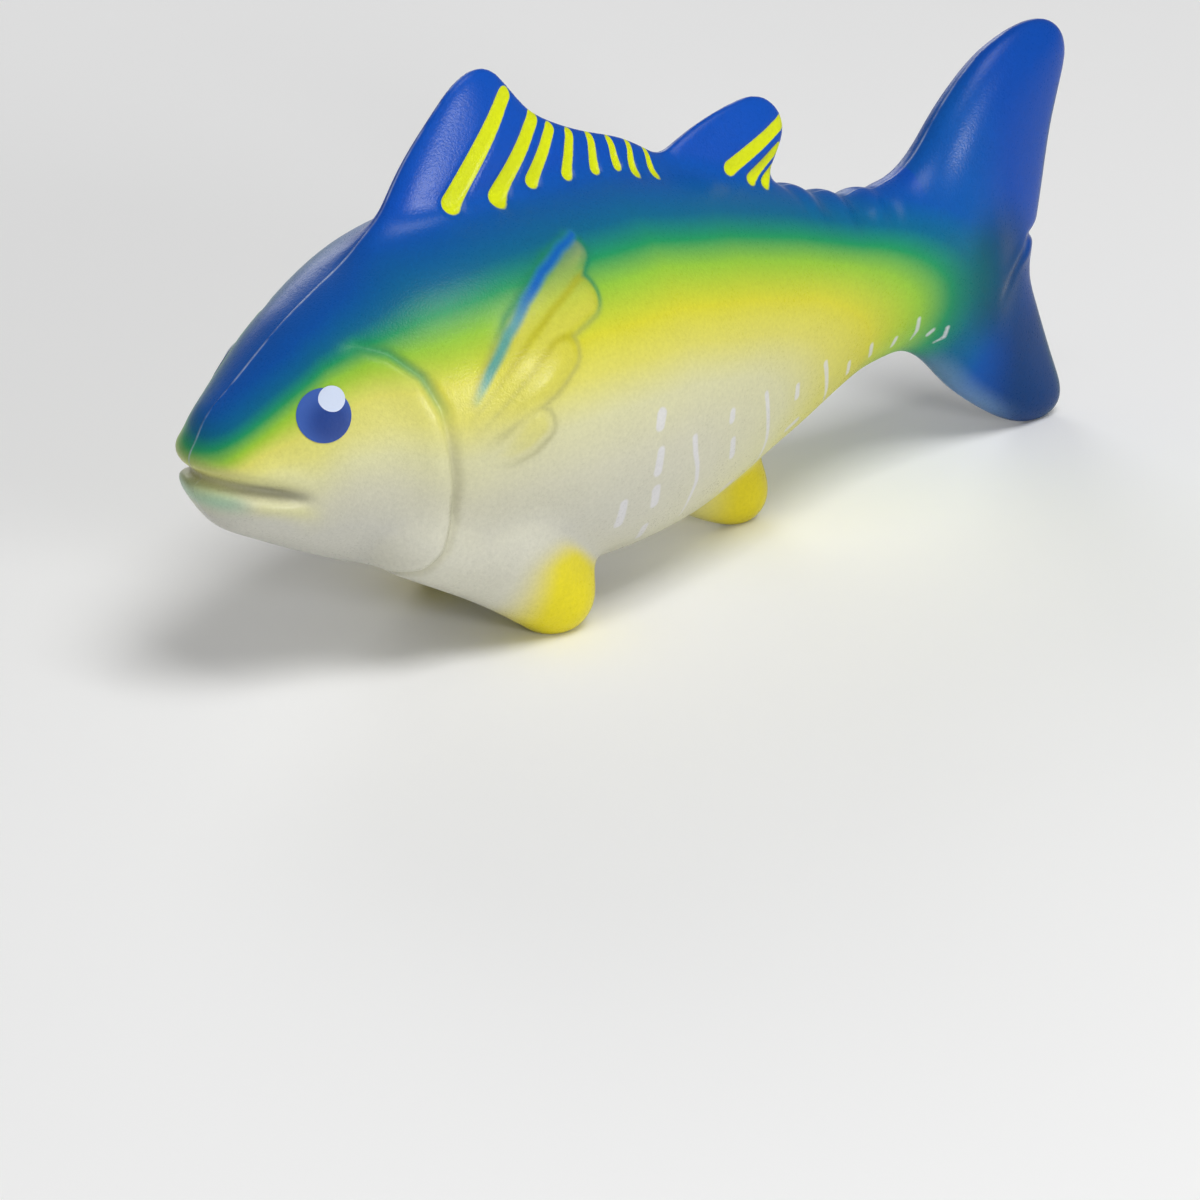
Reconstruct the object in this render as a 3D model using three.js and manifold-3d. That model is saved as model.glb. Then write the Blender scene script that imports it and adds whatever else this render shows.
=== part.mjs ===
// A squeeze toy: a soft foam fish that stands on its pelvic fins, its anal fin and its tail.
// Millimetres, +Z up. The nose points along -X and the fish's left side is -Y. The ground is z = 0.

import * as THREE from 'three';
import { mergeVertices } from 'three/addons/utils/BufferGeometryUtils.js';
import Module from 'manifold-3d';

const wasm = await Module();
wasm.setup();

// Clearance between neighbouring zones of the foam
const GAP = 0.3;
// Body stations from nose to tail: place along the fish, height of the back, height of the belly,
// half the width
const BODY_STATIONS = [
  [-74.6, 33.4, 29.0, 1.8],
  [-73.2, 36.1, 26.6, 4.2],
  [-68.0, 40.3, 22.4, 9.0],
  [-56.0, 48.8, 15.5, 15.3],
  [-42.0, 55.2, 9.6, 21.0],
  [-24.0, 56.8, 5.5, 24.0],
  [-4.0, 55.3, 5.7, 20.3],
  [16.0, 48.6, 11.1, 13.5],
  [32.0, 42.2, 16.3, 8.6],
  [46.0, 38.8, 18.2, 6.3],
  [58.0, 31.5, 21.0, 4.6],
  [66.4, 26.6, 23.2, 2.2],
];
// Cutting blocks reach past the fish on every side
const REACH = 2 * Math.abs(BODY_STATIONS[0][0]);

// How finely the rounded forms are cut into facets
const BODY_RINGS = 32;
const BODY_SIDES = 24;
const LOBE_SIDES = 12;
const LOBE_STEPS = 4;
const DISC_SIDES = 20;
const KNUCKLE_SIDES = 32;
const FINLET_SIDES = 8;
const FINLET_RINGS = 6;
const EDGE_STEPS = 40;
const MOUTH_STEPS = 16;
const DORSAL_STEPS = 26;
const PECTORAL_STEPS = 48;
const TAIL_STEPS = 60;
const ANAL_STEPS = 28;
const BEVEL_STEPS = 2;
// Share of the rings' spacing that draws them closer together near the blunt nose
const NOSE_CROWDING = 0.45;
// The least half width or half height of a ring, where a shrunk body would vanish
const LEAST_HALF = 0.2;

// Rear edge of the gill covers, from the top of the head to the throat: place and height
const GILL_EDGE = [
  [-54.0, 62.0], [-51.0, 48.5], [-48.7, 42.2], [-47.2, 34.5],
  [-46.5, 27.0], [-46.7, 21.0], [-49.0, 15.8], [-54.0, 2.0],
];

// Mouth line from the front of the snout to the corner of the mouth, and the groove along it
const MOUTH_LINE = [[-76.0, 32.9], [-71.7, 31.4], [-68.0, 29.7], [-64.2, 28.1]];
const MOUTH_GROOVE_HEIGHT = 1.2;
const MOUTH_GROOVE_DEPTH = 1.5;

// Eye: its centre on the side of the head, the disc, and the painted glint on it
const EYE_X = -60.5;
const EYE_Z = 39.1;
const EYE_RADIUS = 3.4;
const EYE_DEPTH = 2.0;
const EYE_PROUD = 0.5;
const GLINT_RADIUS = 1.45;
const GLINT_DEPTH = 0.9;
const GLINT_PROUD = 0.2;
const GLINT_BACK = 0.9;
const GLINT_UP = 1.3;

// Squeezed flanks: the upper and lower edge of the zone that gives way, its rear end,
// and the flat inner face of each pad
const FLANK_TOP = [
  [-64.0, 37.0], [-46.0, 44.5], [-36.0, 49.6], [-27.0, 53.2],
  [-20.0, 54.0], [-12.0, 51.6], [0.0, 46.4], [30.0, 38.5],
];
const FLANK_BOTTOM = [
  [-64.0, 26.0], [-46.0, 21.5], [-34.0, 18.0], [-20.0, 14.5],
  [-6.0, 14.5], [8.0, 18.5], [30.0, 26.0],
];
const FLANK_REAR = 20.0;
const PAD_INNER_FACE = 10.0;

// Pectoral fin: a low relief on each flank, with a scalloped rear edge
const PECTORAL_OUTLINE = [
  [-42.0, 38.6], [-36.8, 44.4], [-30.0, 49.2], [-24.5, 51.9], [-19.6, 53.2], [-22.6, 49.8],
  [-20.9, 47.9], [-25.6, 45.8], [-24.0, 43.4], [-30.0, 42.2], [-28.4, 39.6], [-34.0, 37.4],
  [-32.2, 34.4], [-36.2, 31.0], [-40.2, 29.8], [-42.0, 33.8],
];
const PECTORAL_RELIEF = 1.4;

// How far the rounding of a fin's edge reaches in from its outline
const FIN_EDGE_ROUNDING = 0.7;

// First dorsal fin: its front on the back, and its outline behind and above the hinge
const FIRST_DORSAL_FRONT = -43.6;
const FIRST_DORSAL_OUTLINE = [
  [2.2, 0.0], [5.1, 4.4], [13.1, 12.8], [16.6, 15.7], [19.2, 16.2],
  [22.2, 11.8], [27.6, 6.3], [34.6, 3.2], [42.0, 0.0],
];
// Second dorsal fin: front and rear of its sloping base, and its outline along and above that base
const SECOND_DORSAL_FRONT = 2.3;
const SECOND_DORSAL_REAR = 20.7;
const SECOND_DORSAL_OUTLINE = [
  [1.0, 0.0], [2.8, 3.0], [9.1, 7.9], [13.6, 10.0], [16.9, 9.4],
  [19.7, 7.4], [20.2, 5.8], [19.2, 2.4], [18.8, 0.0],
];
// The fins bend on a round bead along their root, which lies in a low rounded ridge of the back
const DORSAL_HINGE_RISE = 1.0;
const DORSAL_BEAD_RADIUS = 2.4;
const DORSAL_RIDGE_RADIUS = 5.0;
// How much longer the trough is than the bead at each end, so that the blade's corners swing clear
const DORSAL_END_PLAY = 0.5;
const DORSAL_ROOT_HALF = 2.2;
const DORSAL_EDGE_HALF = 1.4;

// Tail fin: the upright bending line at the narrow tail stock, the fin's outline behind it,
// and half its thickness
const TAIL_HINGE_X = 42.0;
const TAIL_KNUCKLE_RADIUS = 7.0;
const TAIL_SWING_DEG = 25;
const TAIL_OUTLINE = [
  [1.5, 39.4], [4.8, 42.0], [11.0, 48.3], [17.0, 53.6], [23.4, 56.8], [28.6, 57.9], [31.6, 55.8],
  [32.6, 52.6], [29.2, 42.5], [26.2, 31.0], [24.4, 25.0], [23.9, 18.0], [25.4, 8.0], [26.4, 2.6],
  [24.6, -0.3], [21.4, -0.4], [16.2, 2.1], [9.4, 7.4], [4.0, 14.0], [0.8, 18.4],
];
const TAIL_HALF_FRONT = 5.6;
const TAIL_HALF_REAR = 2.8;

// Finlets: low bumps along the ridge between the second dorsal fin and the tail
const FINLET_COUNT = 4;
const FINLET_FIRST_X = 23.0;
const FINLET_PITCH = 3.2;
const FINLET_RADIUS = 1.6;

// Pelvic fins: thick rounded lobes that widen from the throat and the belly's side down to the ground
const PELVIC_FRONT_ROOT = [-46.0, 11.8, 18.4];
const PELVIC_REAR_ROOT = [-35.5, 13.2, 13.6];
const PELVIC_ROOT_RADIUS = 6.0;
const PELVIC_FOOT_X = -28.9;
const PELVIC_FOOT_Y = 12.5;
const PELVIC_FOOT_RADIUS = 5.6;
// Depth of the flat sole that is cut off each rounded fin at the ground
const SOLE_CUT = 0.5;

// Anal fin: its outline from the belly to the ground, and half its thickness
const ANAL_OUTLINE = [
  [-3.0, 9.0], [1.4, 4.6], [8.0, 0.8], [12.0, -0.4],
  [14.8, 1.6], [15.4, 5.0], [14.4, 9.0], [12.0, 15.0],
];
const ANAL_HALF = 3.2;

// Paint and the satin skin under it
const SKIN_ROUGHNESS = 0.55;
const BLUE = 0x1c5cc0;
const YELLOW = 0xd8d83c;
const CREAM = 0xc9c9bd;
const GREEN = 0x1f8a6c;
const DARK_BLUE = 0x24509f;
const WHITE = 0xe2eaf6;

function foam(color) {
  return new THREE.MeshStandardMaterial({ color, roughness: SKIN_ROUGHNESS, metalness: 0 });
}

// Smooth curve through a column of the station table, by cubic pieces with the mean slope at each station
function smoothValue(stations, column, x) {
  const last = stations.length - 1;
  let i = 0;
  while (i < last - 1 && x > stations[i + 1][0]) {
    i += 1;
  }
  const slopeAt = (k) => {
    const before = stations[Math.max(k - 1, 0)];
    const after = stations[Math.min(k + 1, last)];
    return (after[column] - before[column]) / (after[0] - before[0]);
  };
  const [a, b] = [stations[i], stations[i + 1]];
  const span = b[0] - a[0];
  const t = THREE.MathUtils.clamp((x - a[0]) / span, 0, 1);
  const rise = b[column] - a[column];
  const bend = (slopeAt(i) * span - rise) * (1 - t) - (slopeAt(i + 1) * span - rise) * t;
  return a[column] + rise * t + t * (1 - t) * bend;
}

const bodyTop = (x) => smoothValue(BODY_STATIONS, 1, x);
const bodyBottom = (x) => smoothValue(BODY_STATIONS, 2, x);
const bodyHalf = (x) => smoothValue(BODY_STATIONS, 3, x);

// Half the width of the oval section at place x and height z
function bodySide(x, z) {
  const middle = (bodyTop(x) + bodyBottom(x)) / 2;
  const tall = (bodyTop(x) - bodyBottom(x)) / 2;
  return bodyHalf(x) * Math.sqrt(Math.max(1 - ((z - middle) / tall) ** 2, 0));
}

// Turns a closed geometry into a solid that can be joined and cut
function solidOf(geometry) {
  const bare = geometry.clone();
  bare.deleteAttribute('normal');
  bare.deleteAttribute('uv');
  const merged = mergeVertices(bare, 1e-4);
  const vertProperties = new Float32Array(merged.attributes.position.array);
  const triVerts = new Uint32Array(merged.index.array);
  return new wasm.Manifold(new wasm.Mesh({ numProp: 3, vertProperties, triVerts }));
}

function geometryOf(solid) {
  const { vertProperties, triVerts } = solid.getMesh();
  const geometry = new THREE.BufferGeometry();
  geometry.setAttribute('position', new THREE.BufferAttribute(new Float32Array(vertProperties), 3));
  geometry.setIndex(new THREE.BufferAttribute(new Uint32Array(triVerts), 1));
  geometry.computeVertexNormals();
  return geometry;
}

// The whole body as a loft of oval rings, grown outwards by a distance (or shrunk where it is negative)
function bodySolid(grow) {
  const first = BODY_STATIONS[0][0] - grow;
  const last = BODY_STATIONS[BODY_STATIONS.length - 1][0] + grow;
  const positions = [];
  const triangles = [];
  for (let i = 0; i < BODY_RINGS; i += 1) {
    const t = i / (BODY_RINGS - 1);
    const x = first + (last - first) * t * (1 - NOSE_CROWDING + NOSE_CROWDING * t);
    const middle = (bodyTop(x) + bodyBottom(x)) / 2;
    const tall = Math.max((bodyTop(x) - bodyBottom(x)) / 2 + grow, LEAST_HALF);
    const wide = Math.max(bodyHalf(x) + grow, LEAST_HALF);
    for (let k = 0; k < BODY_SIDES; k += 1) {
      const angle = (2 * Math.PI * k) / BODY_SIDES;
      positions.push(x, wide * Math.cos(angle), middle + tall * Math.sin(angle));
    }
  }
  for (let i = 0; i < BODY_RINGS - 1; i += 1) {
    for (let k = 0; k < BODY_SIDES; k += 1) {
      const a = i * BODY_SIDES + k;
      const b = i * BODY_SIDES + ((k + 1) % BODY_SIDES);
      triangles.push(a, b, a + BODY_SIDES, b, b + BODY_SIDES, a + BODY_SIDES);
    }
  }
  const end = (BODY_RINGS - 1) * BODY_SIDES;
  for (let k = 1; k < BODY_SIDES - 1; k += 1) {
    triangles.push(0, k + 1, k, end, end + k, end + k + 1);
  }
  const geometry = new THREE.BufferGeometry();
  geometry.setAttribute('position', new THREE.BufferAttribute(new Float32Array(positions), 3));
  geometry.setIndex(triangles);
  return solidOf(geometry);
}

const vectors = (points) => points.map(([x, z]) => new THREE.Vector2(x, z));

// Points of a smooth open curve through the given ones
function smoothLine(points, steps) {
  return new THREE.SplineCurve(vectors(points)).getPoints(steps);
}

// Points of a smooth closed curve through the given ones
function smoothLoop(points, steps) {
  const loop = points.map(([x, z]) => new THREE.Vector3(x, z, 0));
  const curve = new THREE.CatmullRomCurve3(loop, true, 'centripetal');
  return curve.getPoints(steps).slice(0, -1).map((p) => new THREE.Vector2(p.x, p.y));
}

// A straight-sided block whose outline lies in the X-Z plane, from one side y to the other
function sideBlock(outline, fromY, toY) {
  const depth = toY - fromY;
  const geometry = new THREE.ExtrudeGeometry(new THREE.Shape(outline), { depth, bevelEnabled: false });
  geometry.rotateX(Math.PI / 2);
  geometry.translate(0, toY, 0);
  return solidOf(geometry);
}

function boxBetween(low, high) {
  const size = high.map((value, i) => value - low[i]);
  const geometry = new THREE.BoxGeometry(...size);
  geometry.translate(...low.map((value, i) => value + size[i] / 2));
  return solidOf(geometry);
}

// A fin blade with rounded edges: an outline in its own plane, and half its thickness at each place of it
function finBlade(outline, halfAt) {
  const bevel = FIN_EDGE_ROUNDING;
  const geometry = new THREE.ExtrudeGeometry(new THREE.Shape(outline), {
    depth: 1,
    bevelThickness: 0.5,
    bevelSize: bevel,
    bevelOffset: -bevel,
    bevelSegments: BEVEL_STEPS,
  });
  geometry.translate(0, 0, -0.5);
  geometry.rotateX(Math.PI / 2);
  const position = geometry.attributes.position;
  for (let i = 0; i < position.count; i += 1) {
    // The raw blade is two wide from face to face, bevels included
    position.setY(i, position.getY(i) * halfAt(position.getX(i), position.getZ(i)));
  }
  return solidOf(geometry);
}

// A round rod between two points
function rod(from, to, radius, sides) {
  const along = to.clone().sub(from);
  const geometry = new THREE.CylinderGeometry(radius, radius, along.length(), sides);
  const upright = new THREE.Vector3(0, 1, 0);
  geometry.applyQuaternion(new THREE.Quaternion().setFromUnitVectors(upright, along.normalize()));
  const middle = from.clone().add(to).multiplyScalar(0.5);
  geometry.translate(middle.x, middle.y, middle.z);
  return solidOf(geometry);
}

// A round-ended lobe that swells or tapers from one ball to another
function lobe(from, fromRadius, to, toRadius) {
  const length = from.distanceTo(to);
  const lean = Math.asin((fromRadius - toRadius) / length);
  const profile = [];
  const arc = (centre, radius, start, stop) => {
    for (let i = 0; i <= LOBE_STEPS; i += 1) {
      const angle = start + ((stop - start) * i) / LOBE_STEPS;
      const out = Math.max(radius * Math.cos(angle), 0);
      profile.push(new THREE.Vector2(out, centre + radius * Math.sin(angle)));
    }
  };
  arc(0, fromRadius, -Math.PI / 2, lean);
  arc(length, toRadius, lean, Math.PI / 2);
  profile[0].x = 0;
  profile[profile.length - 1].x = 0;
  const geometry = new THREE.LatheGeometry(profile, LOBE_SIDES);
  const along = to.clone().sub(from).normalize();
  const upright = new THREE.Vector3(0, 1, 0);
  geometry.applyQuaternion(new THREE.Quaternion().setFromUnitVectors(upright, along));
  geometry.translate(from.x, from.y, from.z);
  return solidOf(geometry);
}

const group = new THREE.Group();

function addPart(name, solid, color) {
  const part = new THREE.Mesh(geometryOf(solid), foam(color));
  part.name = name;
  group.add(part);
}

const mirrored = (solid) => solid.mirror([0, 1, 0]);

// The cuts that part the body into its zones
const body = bodySolid(0);
const bodyClear = bodySolid(GAP);
const aboveGround = boxBetween([-REACH, -REACH, 0], [REACH, REACH, REACH]);

const gillCurve = smoothLine(GILL_EDGE, EDGE_STEPS);
const inFrontOfGill = (shift) => {
  const edge = gillCurve.map((p) => new THREE.Vector2(p.x + shift, p.y));
  const lower = new THREE.Vector2(-REACH, edge[edge.length - 1].y);
  const upper = new THREE.Vector2(-REACH, edge[0].y);
  return sideBlock([...edge, lower, upper], -REACH, REACH);
};
const headSpace = inFrontOfGill(-GAP / 2);
const headCut = inFrontOfGill(GAP / 2);

const aboveLine = (points, shift) => {
  const line = smoothLine(points, EDGE_STEPS).map((p) => new THREE.Vector2(p.x, p.y + shift));
  const rear = new THREE.Vector2(line[line.length - 1].x, REACH);
  const front = new THREE.Vector2(line[0].x, REACH);
  return sideBlock([...line, rear, front], -REACH, REACH);
};

const behind = (x) => boxBetween([x, -REACH, -REACH], [REACH, REACH, REACH]);
const midBody = body.subtract(headCut).subtract(behind(FLANK_REAR - GAP / 2));

// Hinge lines of the fins on the back
let backPeak = -Infinity;
for (let x = FIRST_DORSAL_FRONT; x <= SECOND_DORSAL_FRONT; x += 1) {
  backPeak = Math.max(backPeak, bodyTop(x));
}
const firstHinge = new THREE.Vector3(FIRST_DORSAL_FRONT, 0, backPeak + DORSAL_HINGE_RISE);
const onRidge = (x) => new THREE.Vector3(x, 0, bodyTop(x) + DORSAL_HINGE_RISE);
const secondHinge = onRidge(SECOND_DORSAL_FRONT);
const secondHingeEnd = onRidge(SECOND_DORSAL_REAR);
const secondAlong = secondHingeEnd.clone().sub(secondHinge).normalize();
const alongX = new THREE.Vector3(1, 0, 0);

// A dorsal fin: a blade above its hinge line on a round-ended bead that can roll in a trough
// of the back's ridge
function dorsalFin(hinge, along, outline) {
  const tallest = Math.max(...outline.map((p) => p[1]));
  const halfAt = (s, n) => THREE.MathUtils.lerp(DORSAL_ROOT_HALF, DORSAL_EDGE_HALF, n / tallest);
  const curve = smoothLine(outline, DORSAL_STEPS);
  const start = outline[0][0] + DORSAL_BEAD_RADIUS;
  const stop = outline[outline.length - 1][0] - DORSAL_BEAD_RADIUS;
  // The blade's foot runs down into the bead
  const foot = -DORSAL_BEAD_RADIUS / 2;
  const rooted = [...curve, new THREE.Vector2(stop, foot), new THREE.Vector2(start, foot)];
  const across = new THREE.Vector3(0, 1, 0);
  const place = new THREE.Matrix4().makeBasis(along, across, along.clone().cross(across));
  place.setPosition(hinge);
  const blade = finBlade(rooted, halfAt).transform([...place.elements]);
  const fromHinge = (s, n) => new THREE.Vector3(s, 0, n).applyMatrix4(place);
  const bead = (play, radius) => lobe(fromHinge(start - play, 0), radius, fromHinge(stop + play, 0), radius);
  const sunk = -DORSAL_RIDGE_RADIUS;
  const ridgeRadius = DORSAL_RIDGE_RADIUS;
  const ridge = lobe(fromHinge(start, sunk), ridgeRadius, fromHinge(stop, sunk), ridgeRadius);
  const fin = blade.add(bead(0, DORSAL_BEAD_RADIUS));
  const trough = bead(DORSAL_END_PLAY, DORSAL_BEAD_RADIUS + GAP);
  return { fin, trough, ridge };
}
const firstDorsal = dorsalFin(firstHinge, alongX, FIRST_DORSAL_OUTLINE);
const secondDorsal = dorsalFin(secondHinge, secondAlong, SECOND_DORSAL_OUTLINE);

// Head, with the mouth groove and the seats of the eyes
const mouthMiddle = smoothLine(MOUTH_LINE, MOUTH_STEPS);
const mouthEdge = (rise) => mouthMiddle.map((p) => new THREE.Vector2(p.x, p.y + rise));
const mouthUpper = mouthEdge(MOUTH_GROOVE_HEIGHT / 2);
const mouthLower = mouthEdge(-MOUTH_GROOVE_HEIGHT / 2).reverse();
const mouthSlot = sideBlock([...mouthLower, ...mouthUpper], -REACH, REACH);
const mouthGroove = mouthSlot.subtract(bodySolid(-MOUTH_GROOVE_DEPTH));

const eyeSide = bodySide(EYE_X, EYE_Z);
// The way the side of the head faces at the eye, from its slope across the eye
const eyeOut = new THREE.Vector3(
  bodySide(EYE_X - EYE_RADIUS, EYE_Z) - bodySide(EYE_X + EYE_RADIUS, EYE_Z),
  2 * EYE_RADIUS,
  bodySide(EYE_X, EYE_Z - EYE_RADIUS) - bodySide(EYE_X, EYE_Z + EYE_RADIUS),
).normalize();
const eyeCentre = new THREE.Vector3(EYE_X, eyeSide, EYE_Z);
const eyeBack = new THREE.Vector3(1, 0, 0).addScaledVector(eyeOut, -eyeOut.x).normalize();
const eyeUp = eyeBack.clone().cross(eyeOut).normalize();
const glintShift = new THREE.Vector3().addScaledVector(eyeBack, GLINT_BACK).addScaledVector(eyeUp, GLINT_UP);
const glintCentre = eyeCentre.clone().add(glintShift);
// A disc set into a surface: from a depth below it to a height above it
function disc(centre, radius, depth, proud) {
  const inner = centre.clone().addScaledVector(eyeOut, -depth);
  const outer = centre.clone().addScaledVector(eyeOut, proud);
  return rod(inner, outer, radius, DISC_SIDES);
}
const glintFloor = GLINT_DEPTH - EYE_PROUD - GLINT_PROUD;
const glintSeat = disc(glintCentre, GLINT_RADIUS + GAP, glintFloor + GAP, EYE_PROUD + GLINT_DEPTH);
const eye = disc(eyeCentre, EYE_RADIUS, EYE_DEPTH, EYE_PROUD).subtract(glintSeat);
const glint = disc(glintCentre, GLINT_RADIUS, glintFloor, EYE_PROUD + GLINT_PROUD);
const eyeSeat = disc(eyeCentre, EYE_RADIUS + GAP, EYE_DEPTH + GAP, EYE_DEPTH);

const eyeSeats = eyeSeat.add(mirrored(eyeSeat));
const head = body.intersect(headSpace).subtract(mouthGroove).subtract(eyeSeats);
addPart('head', head, YELLOW);
addPart('right_eye', eye, DARK_BLUE);
addPart('left_eye', mirrored(eye), DARK_BLUE);
addPart('right_eye_glint', glint, WHITE);
addPart('left_eye_glint', mirrored(glint), WHITE);

// Back and belly, above and below the flanks
const ridges = firstDorsal.ridge.add(secondDorsal.ridge).subtract(behind(FLANK_REAR - GAP / 2));
const troughs = firstDorsal.trough.add(secondDorsal.trough);
const back = midBody.add(ridges).intersect(aboveLine(FLANK_TOP, GAP / 2)).subtract(troughs);
addPart('back', back, BLUE);
const belly = midBody.subtract(aboveLine(FLANK_BOTTOM, -GAP / 2));
addPart('belly', belly, CREAM);

// Flanks: a soft core between two pads that are pressed towards it
const aboveBelly = midBody.intersect(aboveLine(FLANK_BOTTOM, GAP / 2));
const flankSpace = aboveBelly.subtract(aboveLine(FLANK_TOP, -GAP / 2));
const coreSide = PAD_INNER_FACE - GAP;
const coreSpace = boxBetween([-REACH, -coreSide, -REACH], [REACH, coreSide, REACH]);
addPart('foam_core', flankSpace.intersect(coreSpace), CREAM);
const rightSpace = boxBetween([-REACH, PAD_INNER_FACE, -REACH], [REACH, REACH, REACH]);
const rightFlank = flankSpace.intersect(rightSpace);
addPart('right_flank', rightFlank, YELLOW);
addPart('left_flank', mirrored(rightFlank), YELLOW);

// Pectoral fins in relief on the flanks
const pectoralSpace = sideBlock(smoothLoop(PECTORAL_OUTLINE, PECTORAL_STEPS), 0, REACH);
const reliefShell = bodySolid(GAP + PECTORAL_RELIEF).subtract(bodyClear);
const rightPectoral = reliefShell.intersect(pectoralSpace);
addPart('right_pectoral_fin', rightPectoral, GREEN);
addPart('left_pectoral_fin', mirrored(rightPectoral), GREEN);

addPart('first_dorsal_fin', firstDorsal.fin, BLUE);
addPart('second_dorsal_fin', secondDorsal.fin, BLUE);

// Tail stock: the narrow rear of the body, with the hollow that the tail's knuckle bends in
const hingeFoot = new THREE.Vector3(TAIL_HINGE_X, 0, -REACH);
const hingeHead = new THREE.Vector3(TAIL_HINGE_X, 0, REACH);
const tailRod = (radius) => rod(hingeFoot, hingeHead, radius, KNUCKLE_SIDES);
const hollowRadius = TAIL_KNUCKLE_RADIUS + GAP;
const tailLip = TAIL_HINGE_X - hollowRadius * Math.sin(THREE.MathUtils.degToRad(TAIL_SWING_DEG));
let tailStock = body.intersect(behind(FLANK_REAR + GAP / 2));
tailStock = tailStock.subtract(behind(tailLip - GAP)).subtract(tailRod(hollowRadius));
for (let i = 0; i < FINLET_COUNT; i += 1) {
  const x = FINLET_FIRST_X + i * FINLET_PITCH;
  const finlet = new THREE.SphereGeometry(FINLET_RADIUS, FINLET_SIDES, FINLET_RINGS);
  finlet.translate(x, 0, bodyTop(x));
  tailStock = tailStock.add(solidOf(finlet));
}
addPart('tail_stock', tailStock, GREEN);

// Tail fin: a forked plate that thins to its rear edge, on the rear end of the body and its round knuckle
const behindHinge = TAIL_OUTLINE.map(([back, height]) => [TAIL_HINGE_X + back, height]);
const tailRear = Math.max(...TAIL_OUTLINE.map((p) => p[0]));
const tailShare = (x) => Math.max(x - TAIL_HINGE_X, 0) / tailRear;
const tailHalf = (x) => THREE.MathUtils.lerp(TAIL_HALF_FRONT, TAIL_HALF_REAR, tailShare(x));
const knuckle = body.intersect(tailRod(TAIL_KNUCKLE_RADIUS));
const tailRoot = knuckle.add(body.intersect(behind(TAIL_HINGE_X)));
const tailPlate = finBlade(smoothLoop(behindHinge, TAIL_STEPS), tailHalf);
const tailFin = tailPlate.add(tailRoot).intersect(aboveGround);
addPart('tail_fin', tailFin, BLUE);

// Fins under the belly, cut flat where the fish stands on them
const pelvicFoot = new THREE.Vector3(PELVIC_FOOT_X, PELVIC_FOOT_Y, PELVIC_FOOT_RADIUS - SOLE_CUT);
function pelvicLobe(root) {
  return lobe(new THREE.Vector3(...root), PELVIC_ROOT_RADIUS, pelvicFoot, PELVIC_FOOT_RADIUS);
}
const pelvicForm = pelvicLobe(PELVIC_FRONT_ROOT).add(pelvicLobe(PELVIC_REAR_ROOT));
const rightPelvic = pelvicForm.subtract(bodyClear).intersect(aboveGround);
addPart('right_pelvic_fin', rightPelvic, YELLOW);
addPart('left_pelvic_fin', mirrored(rightPelvic), YELLOW);

const analPlate = finBlade(smoothLoop(ANAL_OUTLINE, ANAL_STEPS), () => ANAL_HALF);
const analFin = analPlate.subtract(bodyClear).intersect(aboveGround);
addPart('anal_fin', analFin, YELLOW);

export default group;
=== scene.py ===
# %% [markdown]
# # A soft foam fish to squeeze
# The toy is one pour of soft foam with an airbrushed skin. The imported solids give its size, its zones
# and its joints; this script gives it the smooth skin, the fin relief and the paint.
# Shapes are worked out in millimetres, as in the solids, and become metres when a mesh is made.

import bpy
import numpy as np
from mathutils import Matrix, Vector


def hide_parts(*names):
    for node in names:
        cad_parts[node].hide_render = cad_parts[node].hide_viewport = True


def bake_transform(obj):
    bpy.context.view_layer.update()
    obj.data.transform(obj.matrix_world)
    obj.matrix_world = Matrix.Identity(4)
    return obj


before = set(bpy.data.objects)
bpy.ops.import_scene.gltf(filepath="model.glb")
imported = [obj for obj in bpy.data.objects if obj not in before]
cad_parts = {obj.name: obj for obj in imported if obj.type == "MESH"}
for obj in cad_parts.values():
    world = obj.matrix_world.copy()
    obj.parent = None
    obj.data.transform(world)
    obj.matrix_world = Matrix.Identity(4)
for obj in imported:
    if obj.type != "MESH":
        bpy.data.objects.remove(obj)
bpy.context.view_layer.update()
MM = 0.001

# %% [markdown]
# ## The lattice
# A foam toy like this has no hard joins: the fins grow out of the body with soft fillets. Modelling that
# by hand would take sculpting. Here the whole fish is one formula, the distance from its skin, on a
# lattice of points, and the skin is drawn where that distance is nought. Both halves of the mould are
# alike, so only one half is worked out, and the other is its mirror image.

# %% Lattice points and curve helpers
STEP = 0.36
X = np.arange(-77.0, 77.0, STEP)
Z = np.arange(-1.5, 76.5, STEP)
# The first two planes lie on either side of the parting plane, so the seam falls exactly on y = 0
Y = (np.arange(0, 78) - 0.5) * STEP
# The side view is a sheet of points; heights across it are spread over all planes only at the end
GX, GZ = (a[:, None, :] for a in np.meshgrid(X, Z, indexing="ij"))
ACROSS = Y[None, :, None].astype(np.float32)
print("lattice", len(X), "x", len(Y), "x", len(Z))


def smooth_curve(knots, values, x):
    """Cubic pieces through the knots; a knot's slope is the mean slope between its neighbours."""
    slope = np.gradient(values, knots)
    slope[1:-1] = (values[2:] - values[:-2]) / (knots[2:] - knots[:-2])
    i = np.clip(np.searchsorted(knots, x) - 1, 0, len(knots) - 2)
    span = knots[i + 1] - knots[i]
    t = np.clip((x - knots[i]) / span, 0, 1)
    rise = values[i + 1] - values[i]
    bend = (slope[i] * span - rise) * (1 - t) - (slope[i + 1] * span - rise) * t
    return values[i] + rise * t + t * (1 - t) * bend


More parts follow.
